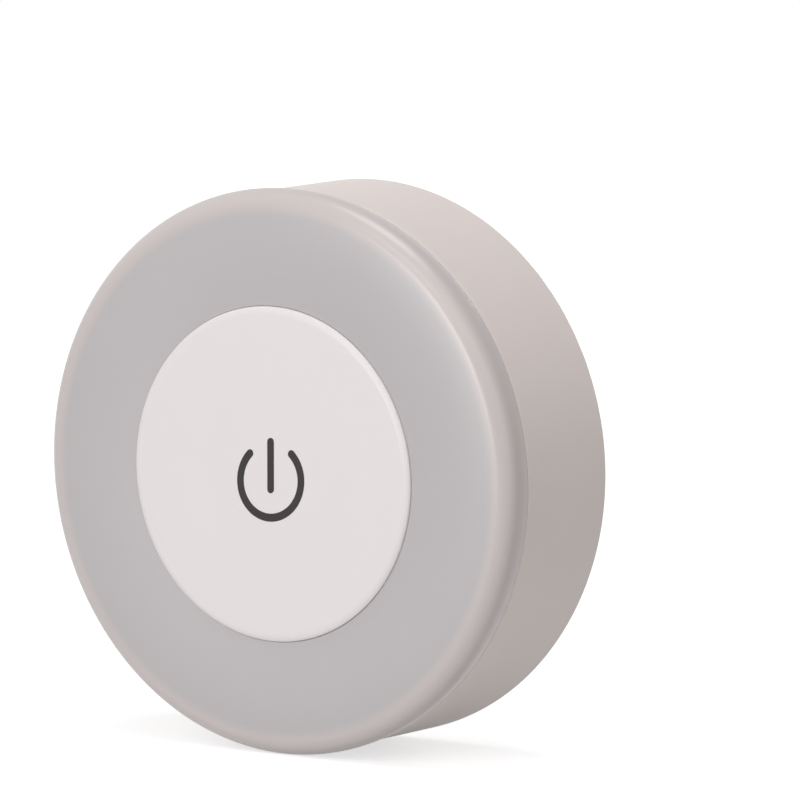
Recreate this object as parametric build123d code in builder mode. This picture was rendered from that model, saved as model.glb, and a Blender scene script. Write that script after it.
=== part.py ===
from build123d import *
import os
from math import asin, cos, pi, radians, sin, sqrt, tan

# A round battery light that clings to a steel plate on a wall: a drum-shaped housing, a milky
# ring that glows and a touch plate in its middle.  All lengths are in millimetres.
# The wall is the plane Y = 0 and the lamp looks along -Y.  +Z is up and +X is to the right of
# a person who stands in front of the lamp.  "Out" is the distance from the wall, along -Y, and
# "back" and "front" in a name are the sides of a piece towards the wall and away from it.

# Outside form
lamp_radius = 40.0          # where the ring is widest
lamp_depth = 25.2           # from the back rim to the flat front of the ring
rear_gap = 0.4              # between the wall and the back rim of the lamp
ring_height = 5.6           # from the seam to the flat front

# Steel plate on the wall
pad_side = 34.0
pad_corner = 3.0
pad_thick = 0.8
plate_side = 36.0
plate_corner = 4.0
plate_thick = 1.2

# Housing
housing_wall = 1.75
housing_back_edge = 0.6
column_radius = 3.0
column_web = 1.2
pilot_radius = 1.0
rest_reach = 1.6            # how far a rest for the cover and the board stands in from the wall
rest_thick = 1.2
rest_count = 3
rest_turn = 60.0

# Light ring
ring_lean = 0.45            # how far its side leans in on the way down to the seam
ring_front_wall = 2.2
crown_width = 8.4           # the stretch at the rim where the flat front falls away
crown_slope = 8.7           # degrees
corner_round = 1.9
lip_wall = 1.3
lip_fit = 0.1
snap_count = 4
snap_turn = 45.0
snap_width = 8.0
snap_height = 1.0
snap_reach = 0.35
snap_clearance = 0.15
snap_drop = 1.2             # from the seam to the middle of a bead

# Touch plate
touch_radius = 23.6
touch_proud = 0.6
touch_gap = 0.15
touch_seat_depth = 0.7
touch_seat_width = 2.2
touch_edge_width = 0.9
touch_edge_drop = 0.4
hook_count = 3
hook_turn = 90.0
hook_width = 6.0
hook_wall = 1.2
hook_fit = 0.2
hook_reach = 1.0
hook_head = 0.9
hook_tip = 1.2
hook_play = 0.1
electrode_side = 22.0
electrode_thick = 0.2

# Rear cover and magnets
cover_thick = 2.0
cover_fit = 0.15
recess_gap = 0.6            # round the steel plate
plateau_wall = 1.4          # from the recess to the side of the raised block over it
magnet_width = 5.0
magnet_length = 10.0
magnet_thick = 2.0
magnet_spread_across = 20.0
magnet_spread_up = 22.0
magnet_fit = 0.1
magnet_floor = 0.6          # plastic between a magnet and the steel plate
cover_rib_count = 6
cover_rib_turn = 30.0
cover_rib_thick = 1.0
cover_rib_height = 1.2
cover_rib_inner = 29.5
cover_rib_outer = 35.5

# Screws
screw_count = 3
screw_turn = 0.0
screw_edge = 4.0            # from a screw's axis to the edge of the cover
screw_radius = 0.95
screw_length = 6.0
screw_head_radius = 1.9
screw_head_height = 1.0     # of the countersunk head, down to the shank
screw_hole_radius = 1.15
screw_sink = 0.15           # how far a head lies below the back of the cover
screw_fit = 0.1             # round a head

# Battery
battery_pad_thick = 0.5
battery_pad_width = 24.0
battery_pad_length = 28.0
battery_width = 30.0
battery_length = 35.0
battery_thick = 5.0
battery_round = 1.4
battery_drop = 2.0          # how far the cell sits below the lamp's axis
protection_inset = 2.0      # from each side of the cell
protection_length = 2.5
protection_thick = 3.0

# Circuit board
under_board = 2.4           # between the battery and the board
board_thick = 1.2
board_gap = 0.5             # between the board and the housing
emitter_count = 6
emitter_turn = 30.0
emitter_width = 3.5
emitter_length = 2.8
emitter_thick = 0.7
resistor_width = 2.0
resistor_length = 1.25
resistor_thick = 0.5
resistor_inset = 4.0        # from the circle of the emitters towards the middle
resistor_turn = 15.0

# Reflector
floor_thick = 1.0
core_wall = 0.9
core_margin = 1.3           # from the edge of the touch plate to the outside of the core
window_margin = 0.35
guide_wall = 0.9
guide_height = 4.3
guide_fit = 0.9
web_count = 6
web_turn = 30.0
web_thick = 0.8
web_height = 2.5
bite = 0.1                  # how far a web runs into the wall that it meets

# Touch spring
spring_radius = 3.2         # of the wire's middle
spring_wire = 0.6
spring_turns = 3
spring_sides = 4
biarcs_per_turn = 2
samples_per_biarc = 16

# Charging socket
usb_width = 8.94
usb_height = 3.26
usb_length = 7.35
usb_wall = 0.3
usb_mouth_step = 0.2        # from the floor of the outer recess back to the socket's mouth
usb_gap = 0.17
usb_back_length = 2.0
tongue_width = 6.7
tongue_thick = 0.7
tongue_short = 0.9
port_width = 12.8
port_height = 7.0
port_depth = 0.8

# Charge light
pipe_across = 10.9          # from the middle of the socket
pipe_drop = 1.6             # from the board to the middle of the pipe
pipe_radius = 0.95
pipe_length = 3.0
pipe_fit = 0.05
pipe_inset = 0.1
indicator_width = 1.6
indicator_length = 0.8
indicator_thick = 1.2
indicator_gap = 0.3

# Battery connector and leads
socket_across_share = 0.59   # of the board's radius
socket_up_share = 0.24
socket_width = 4.6
socket_height = 3.0
socket_length = 4.0
socket_wall = 0.6
plug_fit = 0.05
plug_length = 5.0
plug_proud = 2.0            # how far the plug stands out of its socket
lead_radius = 0.55
lead_sides = 6
lead_pitch = 1.25
lead_exit_inset = 3.0       # from the end of the protection strip
lead_exit_pitch = 3.5
lead_black_rise = 4.4
lead_black_bend = 4.0
lead_red_rise = 6.2
lead_red_bend = 5.0

# Chips and small parts under the board.  Their places across and up are shares of its radius.
charger_place_shares = [(0.094, -0.657)]
charger_width = 4.9
charger_length = 3.9
charger_thick = 1.4
touch_chip_place_shares = [(-0.576, 0.107)]
touch_chip_width = 2.9
touch_chip_length = 1.6
touch_chip_thick = 1.1
transistor_place_shares = [(-0.576, -0.161), (-0.576, -0.295)]
transistor_width = 2.9
transistor_length = 1.3
transistor_thick = 1.0
capacitor_place_shares = [(-0.134, -0.59), (-0.241, -0.59), (-0.576, 0.241),
                          (0.308, -0.657)]
capacitor_width = 2.0
capacitor_length = 1.25
capacitor_thick = 1.25
chip_foot_width = 0.4
chip_foot_reach = 1.0
chip_foot_thick = 0.25
chip_foot_pitch = 1.27
chip_foot_count = 4

overrun = 1.0               # how far a cut runs past what it cuts

# Stations out from the wall
plate_front = pad_thick + plate_thick
cover_front = rear_gap + cover_thick
magnet_back = plate_front + magnet_floor
magnet_front = magnet_back + magnet_thick
battery_back = magnet_front + battery_pad_thick
battery_front = battery_back + battery_thick
board_back = battery_front + under_board
board_front = board_back + board_thick
floor_front = board_front + floor_thick
lamp_front = rear_gap + lamp_depth
seam = lamp_front - ring_height
ring_back = lamp_front - ring_front_wall
seat_out = lamp_front - touch_seat_depth
touch_front = lamp_front + touch_proud
electrode_back = seat_out - electrode_thick

# Radii
seam_radius = lamp_radius - ring_lean
bore_radius = seam_radius - housing_wall
cover_radius = bore_radius - cover_fit
screw_circle = cover_radius - screw_edge
lip_radius = bore_radius - lip_fit
lip_inner = lip_radius - lip_wall
board_radius = bore_radius - board_gap
seat_radius = touch_radius + touch_gap
hole_radius = seat_radius - touch_seat_width
core_radius = touch_radius + core_margin
core_inner = core_radius - core_wall
emitter_circle = (lip_inner + core_radius) / 2
guide_inner = spring_radius + spring_wire / 2 + guide_fit
guide_outer = guide_inner + guide_wall


def station(out):
    """The plane parallel to the wall at a distance out from it: x is across and y is up."""
    return Plane.XZ.offset(out)


def radial_plane(turn):
    """The plane through the lamp's axis at an angle from +X: x is the radius and y is out."""
    across, up = cos(radians(turn)), sin(radians(turn))
    return Plane(origin=(0, 0, 0), x_dir=(across, 0, up), z_dir=(up, 0, -across))


def side_station(below):
    """The plane square to Z at a distance below the lamp's axis: x is across and y is out."""
    return radial_plane(0).offset(below)


def chamfer_corner(section, place, size):
    """Cut off the corner of an open section that lies nearest to a place."""
    chamfer(section.vertices().sort_by_distance(place)[0], length=size)


def save(piece, label):
    """Name a finished piece and write it."""
    piece.part.label = label
    export_step(piece.part, f"parts/{label}.step")


os.makedirs("parts", exist_ok=True)

# Steel plate and its adhesive pad, which stay on the wall
with BuildPart() as adhesive_pad:
    with BuildSketch(station(0)):
        RectangleRounded(pad_side, pad_side, pad_corner)
    extrude(amount=pad_thick)

with BuildPart() as steel_plate:
    with BuildSketch(station(pad_thick)):
        RectangleRounded(plate_side, plate_side, plate_corner)
    extrude(amount=plate_thick)

# Housing: a drum with three screw columns, three rests, pockets for the snap beads of the
# ring, and the openings for the charging socket and the charge light
usb_out = board_back - usb_height / 2
port_floor = seam_radius - port_depth
usb_mouth = port_floor - usb_mouth_step
pipe_out = board_back - pipe_drop
pipe_face = sqrt(seam_radius ** 2 - (pipe_across + pipe_radius) ** 2) - pipe_inset
pocket_width = snap_width + 2 * snap_clearance
pocket_height = snap_height + 2 * snap_clearance
bead_face = lip_radius * cos(asin(snap_width / 2 / lip_radius)) + snap_reach
pocket_face = bead_face + snap_clearance
bead_middle = seam - snap_drop

with BuildPart() as housing:
    with BuildSketch(radial_plane(0)) as drum_section:
        with BuildLine():
            Polyline((bore_radius, rear_gap), (seam_radius, rear_gap), (seam_radius, seam),
                     (bore_radius, seam), close=True)
        make_face()
        chamfer_corner(drum_section, (seam_radius, rear_gap), housing_back_edge)
    revolve(axis=Axis.Y)
    with BuildSketch(station(cover_front)):
        with PolarLocations(screw_circle, screw_count, start_angle=screw_turn):
            Circle(column_radius)
        with PolarLocations((screw_circle + bore_radius + bite) / 2, screw_count,
                            start_angle=screw_turn):
            Rectangle(bore_radius + bite - screw_circle, column_web)
        with PolarLocations(bore_radius + (bite - rest_reach) / 2, rest_count,
                            start_angle=rest_turn):
            Rectangle(rest_reach + bite, rest_thick)
    extrude(amount=board_back - cover_front)
    with BuildSketch(station(cover_front)):
        with PolarLocations(screw_circle, screw_count, start_angle=screw_turn):
            Circle(pilot_radius)
    extrude(amount=screw_length, mode=Mode.SUBTRACT)
    with BuildSketch(station(bead_middle - pocket_height / 2)):
        with PolarLocations(pocket_face / 2, snap_count, start_angle=snap_turn):
            Rectangle(pocket_face, pocket_width)
        Circle(bore_radius, mode=Mode.SUBTRACT)
    extrude(amount=pocket_height, mode=Mode.SUBTRACT)
    with BuildSketch(side_station(port_floor)):
        with Locations((0, usb_out)):
            SlotOverall(port_width, port_height)
    extrude(amount=port_depth, mode=Mode.SUBTRACT)
    with BuildSketch(side_station(bore_radius - overrun)):
        with Locations((0, usb_out)):
            SlotOverall(usb_width + 2 * usb_gap, usb_height + 2 * usb_gap)
    extrude(amount=housing_wall + overrun, mode=Mode.SUBTRACT)
    with BuildSketch(side_station(pipe_face - pipe_length)):
        with Locations((pipe_across, pipe_out)):
            Circle(pipe_radius + pipe_fit)
    extrude(amount=pipe_length + overrun, mode=Mode.SUBTRACT)

# Light ring: flat front, a crown that falls away to a tight round corner, a side that leans
# in to the seam, and a long lip that holds the reflector down and snaps into the housing
crown_start = lamp_radius - crown_width
corner_middle = lamp_radius - corner_round
crown_turn = radians(crown_slope)
widest_out = (lamp_front - (corner_middle - crown_start) * tan(crown_turn)
              - corner_round / cos(crown_turn))
crown_end = (corner_middle + corner_round * sin(crown_turn),
             widest_out + corner_round * cos(crown_turn))

with BuildPart() as diffuser_ring:
    with BuildSketch(radial_plane(0)):
        with BuildLine():
            Polyline((seat_radius, lamp_front), (crown_start, lamp_front), crown_end)
            TangentArc(crown_end, (lamp_radius, widest_out),
                       tangent=(cos(crown_turn), -sin(crown_turn)))
            Polyline((lamp_radius, widest_out), (seam_radius, seam), (lip_radius, seam),
                     (lip_radius, floor_front), (lip_inner, floor_front),
                     (lip_inner, ring_back), (hole_radius, ring_back),
                     (hole_radius, seat_out), (seat_radius, seat_out), (seat_radius, lamp_front))
        make_face()
    revolve(axis=Axis.Y)
    with BuildSketch(station(bead_middle - snap_height / 2)):
        with PolarLocations(bead_face / 2, snap_count, start_angle=snap_turn):
            Rectangle(bead_face, snap_width)
        Circle((lip_radius + lip_inner) / 2, mode=Mode.SUBTRACT)
    extrude(amount=snap_height)

# Touch plate: a disc with a bevelled edge and three snap hooks that reach behind the ring
hook_outer = hole_radius - hook_fit
hook_barb = hook_outer + hook_reach
hook_back = ring_back - hook_play
hook_shoulder = hook_back - hook_head
hook_end = hook_shoulder - hook_tip

with BuildPart() as touch_plate:
    with BuildSketch(radial_plane(0)):
        with BuildLine():
            Polyline((0, touch_front), (touch_radius - touch_edge_width, touch_front),
                     (touch_radius, touch_front - touch_edge_drop), (touch_radius, seat_out),
                     (0, seat_out), close=True)
        make_face()
    revolve(axis=Axis.Y)
    for step in range(hook_count):
        with BuildSketch(radial_plane(hook_turn + step * 360 / hook_count)):
            with BuildLine():
                Polyline((hook_outer - hook_wall, seat_out), (hook_outer - hook_wall, hook_end),
                         (hook_outer, hook_end), (hook_barb, hook_shoulder),
                         (hook_barb, hook_back), (hook_outer, hook_back),
                         (hook_outer, seat_out), close=True)
            make_face()
        extrude(amount=hook_width / 2, both=True)

with BuildPart() as touch_electrode:
    with BuildSketch(station(electrode_back)):
        Rectangle(electrode_side, electrode_side)
    extrude(amount=electrode_thick)

# Rear cover: a disc with a square recess for the steel plate, a raised block over the recess
# with pockets for the magnets, stiffening ribs, and sunk seats for its screws
screw_back = rear_gap + screw_sink
recess_side = plate_side + 2 * recess_gap
plateau_side = recess_side + 2 * plateau_wall
recess_corner = plate_corner + recess_gap

with BuildPart() as rear_cover:
    with BuildSketch(station(rear_gap)):
        Circle(cover_radius)
    extrude(amount=cover_thick)
    with BuildSketch(station(cover_front)):
        RectangleRounded(plateau_side, plateau_side, recess_corner)
    extrude(amount=magnet_front - cover_front)
    with BuildSketch(station(cover_front)):
        with PolarLocations((cover_rib_inner + cover_rib_outer) / 2, cover_rib_count,
                            start_angle=cover_rib_turn):
            Rectangle(cover_rib_outer - cover_rib_inner, cover_rib_thick)
    extrude(amount=cover_rib_height)
    with BuildSketch(station(rear_gap)):
        RectangleRounded(recess_side, recess_side, recess_corner)
    extrude(amount=plate_front - rear_gap, mode=Mode.SUBTRACT)
    with BuildSketch(station(magnet_back)):
        with GridLocations(magnet_spread_across, magnet_spread_up, 2, 2):
            Rectangle(magnet_width + 2 * magnet_fit, magnet_length + 2 * magnet_fit)
    extrude(amount=magnet_thick, mode=Mode.SUBTRACT)
    with Locations(-station(screw_back)):
        with PolarLocations(screw_circle, screw_count, start_angle=-screw_turn):
            CounterSinkHole(screw_hole_radius, screw_head_radius + screw_fit)

with BuildPart() as magnets:
    with BuildSketch(station(magnet_back)):
        with GridLocations(magnet_spread_across, magnet_spread_up, 2, 2):
            Rectangle(magnet_width, magnet_length)
    extrude(amount=magnet_thick)

# One countersunk screw on the Z axis, its point upwards, then the group of them
with BuildPart() as screw:
    with BuildSketch(Plane.XZ):
        with BuildLine():
            Polyline((0, 0), (screw_head_radius, 0), (screw_radius, screw_head_height),
                     (screw_radius, screw_length), (0, screw_length), close=True)
        make_face()
    revolve(axis=Axis.Z)

with BuildPart() as cover_screws:
    with Locations(station(screw_back)):
        with PolarLocations(screw_circle, screw_count, start_angle=screw_turn):
            add(screw.part)

# Battery: a pouch cell on a foam pad, with its taped protection strip at the upper end
battery_top = battery_length / 2 - battery_drop
protection_top = battery_top + protection_length
protection_middle = (battery_back + battery_front) / 2

with BuildPart() as battery_pad:
    with BuildSketch(station(magnet_front)):
        Rectangle(battery_pad_width, battery_pad_length)
    extrude(amount=battery_pad_thick)

with BuildPart() as battery_cell:
    with BuildSketch(side_station(-battery_top)):
        with Locations((0, protection_middle)):
            RectangleRounded(battery_width, battery_thick, battery_round)
    extrude(amount=battery_length)

with BuildPart() as battery_protection:
    with BuildSketch(side_station(-protection_top)):
        with Locations((0, protection_middle)):
            Rectangle(battery_width - 2 * protection_inset, protection_thick)
    extrude(amount=protection_length)

# Circuit board and what it carries
with BuildPart() as circuit_board:
    with BuildSketch(station(board_back)):
        Circle(board_radius)
    extrude(amount=board_thick)

with BuildPart() as light_emitters:
    with BuildSketch(station(board_front)):
        with PolarLocations(emitter_circle, emitter_count, start_angle=emitter_turn):
            Rectangle(emitter_width, emitter_length)
    extrude(amount=emitter_thick)

with BuildPart() as emitter_resistors:
    with BuildSketch(station(board_back)):
        with PolarLocations(emitter_circle - resistor_inset, emitter_count, start_angle=resistor_turn):
            Rectangle(resistor_length, resistor_width)
    extrude(amount=-resistor_thick)


def board_places(shares):
    """Places across and up on the board, from shares of its radius."""
    return [(across * board_radius, up * board_radius) for across, up in shares]


def under_board_boxes(places, width, length, thick):
    """Box-shaped parts soldered to the back of the board."""
    with BuildPart() as group:
        with BuildSketch(station(board_back)):
            with Locations(*places):
                Rectangle(width, length)
        extrude(amount=-thick)
    return group


charger_chip = under_board_boxes(board_places(charger_place_shares), charger_width,
                                 charger_length, charger_thick)
touch_chip = under_board_boxes(board_places(touch_chip_place_shares), touch_chip_width,
                               touch_chip_length, touch_chip_thick)
driver_transistors = under_board_boxes(board_places(transistor_place_shares), transistor_width,
                                       transistor_length, transistor_thick)
capacitors = under_board_boxes(board_places(capacitor_place_shares), capacitor_width,
                               capacitor_length, capacitor_thick)

foot_rows = charger_length + chip_foot_reach
with BuildPart() as chip_leads:
    with BuildSketch(station(board_back)):
        with Locations(*board_places(charger_place_shares)):
            with GridLocations(chip_foot_pitch, foot_rows, chip_foot_count, 2):
                Rectangle(chip_foot_width, chip_foot_reach)
    extrude(amount=-chip_foot_thick)

# Charging socket: a rolled steel shell and the moulded tongue inside it
with BuildPart() as usb_shell:
    with BuildSketch(side_station(usb_mouth)):
        with Locations((0, usb_out)):
            SlotOverall(usb_width, usb_height)
            SlotOverall(usb_width - 2 * usb_wall, usb_height - 2 * usb_wall, mode=Mode.SUBTRACT)
    extrude(amount=-usb_length)

with BuildPart() as usb_tongue:
    with BuildSketch(side_station(usb_mouth - usb_length)):
        with Locations((0, usb_out)):
            Rectangle(usb_width - usb_height, usb_height - 2 * usb_wall)
    extrude(amount=usb_back_length)
    with BuildSketch(side_station(usb_mouth - usb_length + usb_back_length)):
        with Locations((0, usb_out)):
            Rectangle(tongue_width, tongue_thick)
    extrude(amount=usb_length - usb_back_length - tongue_short)

# Charge light: a side-looking emitter and the clear pipe that takes its light to the outside
with BuildPart() as indicator_pipe:
    with BuildSketch(side_station(pipe_face - pipe_length)):
        with Locations((pipe_across, pipe_out)):
            Circle(pipe_radius)
    extrude(amount=pipe_length)

indicator_up = -(pipe_face - pipe_length - indicator_gap - indicator_length / 2)
charge_indicator = under_board_boxes([(pipe_across, indicator_up)], indicator_width,
                                     indicator_length, indicator_thick)

# Battery connector: a socket on the board, a plug in it, and the two leads, each along its
# own loop from the protection strip to the plug
socket_across = socket_across_share * board_radius
socket_up = socket_up_share * board_radius
socket_mouth = socket_up + socket_length
socket_out = board_back - socket_height / 2
plug_end = socket_mouth + plug_proud
cavity_width = socket_width - 2 * socket_wall
cavity_height = socket_height - 2 * socket_wall

with BuildPart() as battery_socket:
    with BuildSketch(side_station(-socket_mouth)):
        with Locations((socket_across, socket_out)):
            Rectangle(socket_width, socket_height)
    extrude(amount=socket_length)
    with BuildSketch(side_station(-socket_mouth)):
        with Locations((socket_across, socket_out)):
            Rectangle(cavity_width, cavity_height)
    extrude(amount=plug_length - plug_proud + plug_fit, mode=Mode.SUBTRACT)

with BuildPart() as battery_plug:
    with BuildSketch(side_station(-plug_end)):
        with Locations((socket_across, socket_out)):
            Rectangle(cavity_width - 2 * plug_fit, cavity_height - 2 * plug_fit)
    extrude(amount=plug_length)


def lead(exit_across, plug_across, rise, bend):
    """One insulated lead: up from the protection strip, across, and down into the plug."""
    crest = protection_top + rise
    with BuildPart() as wire:
        with BuildLine():
            FilletPolyline((exit_across, -protection_middle, protection_top),
                           (exit_across, -protection_middle, crest),
                           (plug_across, -socket_out, crest),
                           (plug_across, -socket_out, plug_end), radius=bend)
        with BuildSketch(Plane(origin=(exit_across, -protection_middle, protection_top),
                               z_dir=(0, 0, 1))):
            RegularPolygon(lead_radius, lead_sides)
        sweep()
    return wire


lead_exit_across = battery_width / 2 - protection_inset - lead_exit_inset
battery_lead_black = lead(lead_exit_across, socket_across - lead_pitch / 2, lead_black_rise,
                          lead_black_bend)
battery_lead_red = lead(lead_exit_across - lead_exit_pitch, socket_across + lead_pitch / 2,
                        lead_red_rise, lead_red_bend)

# Reflector: one moulding with a floor over the board, a round core that carries the front
# of the ring, windows for the emitters, a guide for the touch spring and webs between the two
guide_top = floor_front + guide_height

with BuildPart() as reflector:
    with BuildSketch(radial_plane(0)):
        with BuildLine():
            Polyline((guide_inner, board_front), (board_radius, board_front),
                     (board_radius, floor_front), (core_radius, floor_front),
                     (core_radius, ring_back), (core_inner, ring_back),
                     (core_inner, floor_front), (guide_outer, floor_front),
                     (guide_outer, guide_top), (guide_inner, guide_top), close=True)
        make_face()
    revolve(axis=Axis.Y)
    with BuildSketch(station(floor_front)):
        with PolarLocations((guide_outer + core_inner) / 2, web_count, start_angle=web_turn):
            Rectangle(core_inner - guide_outer + 2 * bite, web_thick)
    extrude(amount=web_height)
    with BuildSketch(station(board_front)):
        with PolarLocations(emitter_circle, emitter_count, start_angle=emitter_turn):
            Rectangle(emitter_width + 2 * window_margin, emitter_length + 2 * window_margin)
    extrude(amount=floor_thick, mode=Mode.SUBTRACT)

# Touch spring: a coil from the board to the electrode, each half turn two arcs that meet
# without a kink, so that the whole wire is one smooth tube
spring_start = board_front + spring_wire / 2
spring_height = electrode_back - board_front - spring_wire
spring_pitch = spring_height / spring_turns
climb = spring_pitch / (2 * pi * spring_radius)


def coil_point(turns):
    """The middle of the wire after a number of turns."""
    angle = 2 * pi * turns
    return Vector(spring_radius * cos(angle), -(spring_start + spring_pitch * turns),
                  spring_radius * sin(angle))


def coil_direction(turns):
    """The way the wire runs after a number of turns."""
    angle = 2 * pi * turns
    return Vector(-sin(angle), -climb, cos(angle)).normalized()


def arc_joint(start, start_way, end, end_way):
    """The point where two arcs of equal reach meet on the way from one place to another."""
    chord = end - start
    both = start_way + end_way
    a = 2 * (1 - start_way.dot(end_way))
    b = 2 * chord.dot(both)
    reach = (sqrt(b * b + 4 * a * chord.dot(chord)) - b) / (2 * a)
    return (start + start_way * reach + end - end_way * reach) * 0.5


biarc_count = spring_turns * biarcs_per_turn
with BuildPart() as touch_spring:
    with BuildLine() as spring_line:
        for step in range(biarc_count):
            first, last = step / biarcs_per_turn, (step + 1) / biarcs_per_turn
            middle = arc_joint(coil_point(first), coil_direction(first),
                               coil_point(last), coil_direction(last))
            opening = TangentArc(coil_point(first), middle, tangent=coil_direction(first))
            TangentArc(middle, coil_point(last), tangent=opening % 1)
    with BuildSketch(Plane(origin=coil_point(0), x_dir=(1, 0, 0), z_dir=coil_direction(0))):
        RegularPolygon(spring_wire / 2, spring_sides)
    sweep()

sample_count = biarc_count * samples_per_biarc
spring_points = [spring_line.wires()[0] @ (step / sample_count) for step in range(sample_count)]
next_turn_share = 0.75
next_turn = int(sample_count / spring_turns * next_turn_share)
spring_gap = min((spring_points[late] - spring_points[early]).length - spring_wire
                 for early in range(sample_count)
                 for late in range(early + next_turn, sample_count))
print(f"least gap between the spring's turns: {spring_gap:.2f} mm")

pieces = {
    "adhesive_pad": adhesive_pad,
    "steel_plate": steel_plate,
    "housing": housing,
    "diffuser_ring": diffuser_ring,
    "touch_plate": touch_plate,
    "touch_electrode": touch_electrode,
    "touch_spring": touch_spring,
    "reflector": reflector,
    "circuit_board": circuit_board,
    "light_emitters": light_emitters,
    "emitter_resistors": emitter_resistors,
    "charger_chip": charger_chip,
    "chip_leads": chip_leads,
    "touch_chip": touch_chip,
    "driver_transistors": driver_transistors,
    "capacitors": capacitors,
    "usb_shell": usb_shell,
    "usb_tongue": usb_tongue,
    "indicator_pipe": indicator_pipe,
    "charge_indicator": charge_indicator,
    "battery_socket": battery_socket,
    "battery_plug": battery_plug,
    "battery_lead_red": battery_lead_red,
    "battery_lead_black": battery_lead_black,
    "battery_pad": battery_pad,
    "battery_cell": battery_cell,
    "battery_protection": battery_protection,
    "rear_cover": rear_cover,
    "magnets": magnets,
    "cover_screws": cover_screws,
}

for label, piece in pieces.items():
    save(piece, label)
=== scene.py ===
import math

import bpy
from bpy.props import FloatProperty, FloatVectorProperty, IntProperty, PointerProperty
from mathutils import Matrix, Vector


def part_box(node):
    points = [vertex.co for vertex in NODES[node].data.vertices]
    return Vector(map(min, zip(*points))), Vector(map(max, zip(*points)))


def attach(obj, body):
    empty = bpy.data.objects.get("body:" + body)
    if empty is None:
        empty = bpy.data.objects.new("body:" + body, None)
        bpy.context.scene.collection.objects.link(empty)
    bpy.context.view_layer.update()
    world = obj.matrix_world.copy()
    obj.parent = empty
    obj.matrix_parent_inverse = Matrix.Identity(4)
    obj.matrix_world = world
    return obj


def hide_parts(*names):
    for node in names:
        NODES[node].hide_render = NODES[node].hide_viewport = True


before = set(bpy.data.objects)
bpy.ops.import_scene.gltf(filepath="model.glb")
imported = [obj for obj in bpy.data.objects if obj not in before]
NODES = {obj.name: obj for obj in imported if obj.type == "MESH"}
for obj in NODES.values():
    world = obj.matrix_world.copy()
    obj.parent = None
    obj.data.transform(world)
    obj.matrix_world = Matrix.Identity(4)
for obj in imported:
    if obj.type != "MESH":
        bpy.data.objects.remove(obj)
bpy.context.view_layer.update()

bl_info = {
    "name": "Round wall puck light",
    "version": (1, 0, 0),
    "blender": (4, 5, 0),
    "location": "3D View > Sidebar > Puck light",
    "description": "Dresses the packed model of a round battery wall light",
    "category": "Object",
}

MM = 0.001
WELD = 0.0005 * MM          # points nearer than this are one point


def faces(node):
    """How far the front and the back of a node are out from the wall."""
    low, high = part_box(node)
    return -low.y, -high.y


def right_end(node):
    """How far a node reaches to the right."""
    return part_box(node)[1].x


FRONT, LIP_BACK = faces("diffuser_ring")
SEAM, BACK = faces("housing")
STEEL_FRONT, STEEL_BACK = faces("steel_plate")
MAGNET_FRONT, MAGNET_BACK = faces("magnets")
SCREW_END, SCREW_BACK = faces("cover_screws")
PLATE_FRONT = faces("touch_plate")[0]
SEAT_OUT = faces("touch_electrode")[0]
BOARD_BACK = faces("circuit_board")[1]
LAMP_RADIUS = right_end("diffuser_ring")
DRUM_RADIUS = right_end("housing")
COVER_RADIUS = right_end("rear_cover")
STEEL_SIDE = 2 * right_end("steel_plate")
PAD_SIDE = 2 * right_end("adhesive_pad")
SCREW_REACH = right_end("cover_screws")
MAGNET_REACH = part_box("magnets")[1]
SOCKET_LOW, SOCKET_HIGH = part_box("usb_shell")
SOCKET_WIDTH = SOCKET_HIGH.x - SOCKET_LOW.x
SOCKET_HEIGHT = SOCKET_HIGH.y - SOCKET_LOW.y
SOCKET_OUT = -(SOCKET_LOW.y + SOCKET_HIGH.y) / 2
TONGUE_LOW, TONGUE_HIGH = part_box("usb_tongue")
PIPE_LOW, PIPE_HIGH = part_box("indicator_pipe")
PIPE_RADIUS = (PIPE_HIGH.x - PIPE_LOW.x) / 2

# Turns in degrees about the lamp's axis
QUARTER = 90
QUARTERS = range(0, 360, QUARTER)
THIRDS = range(0, 360, 120)
SIXTHS = range(0, 360, 60)
BEAD_TURN = 45              # the first bead of the ring
REST_TURN = 60              # the first rest of the housing
RIB_TURN = 30               # the first rib of the cover

# How finely round stretches are drawn
EDGE_STEPS = 4              # small edges
RIM_STEPS = 6               # rims
SIDE_STEPS = 8              # the ring's side, and the corners of squares
CURVE_STEPS = 12            # the crown, the touch plate's edge and the ends of the sign's lines
SLOT_STEPS = 16             # half a turn of a slot
CORNER_STEPS = 20           # the ring's corner
POST_STEPS = 32             # a column and the hole in it
PIN_STEPS = 48              # screws, their seats and the light pipe
SIGN_STEPS = 96             # the sign's ring
BEVEL_STEPS = 3             # softened edges
DOME_STEPS = 6              # the light pipe's ends
SOFT_ANGLE = math.radians(40)       # edges sharper than this are softened
SMOOTH_ANGLE = math.radians(35)     # faces that meet more gently are shaded as one

OVERRUN = 1 * MM            # how far a tool runs past what it cuts
SLACK = 0.02 * MM           # how far a point may be off the face that it belongs to
BARREL_SHARE = 2            # how late the ring's side leans in: 1 is a straight lean
GLOW_START_RADIUS = 36 * MM       # where the painted glow and painted highlight of the ring's rim start
GLOW_FULL_RADIUS = 38.2 * MM    # where they are at full strength
DRIFT_RANGE = (0.3, 0.7)    # the stretch of a noise over which a finish's colour drifts
PATCH_DETAIL = 3            # octaves of that noise
GRAIN_DETAIL = 2            # octaves of the fine grain's noise

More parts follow.
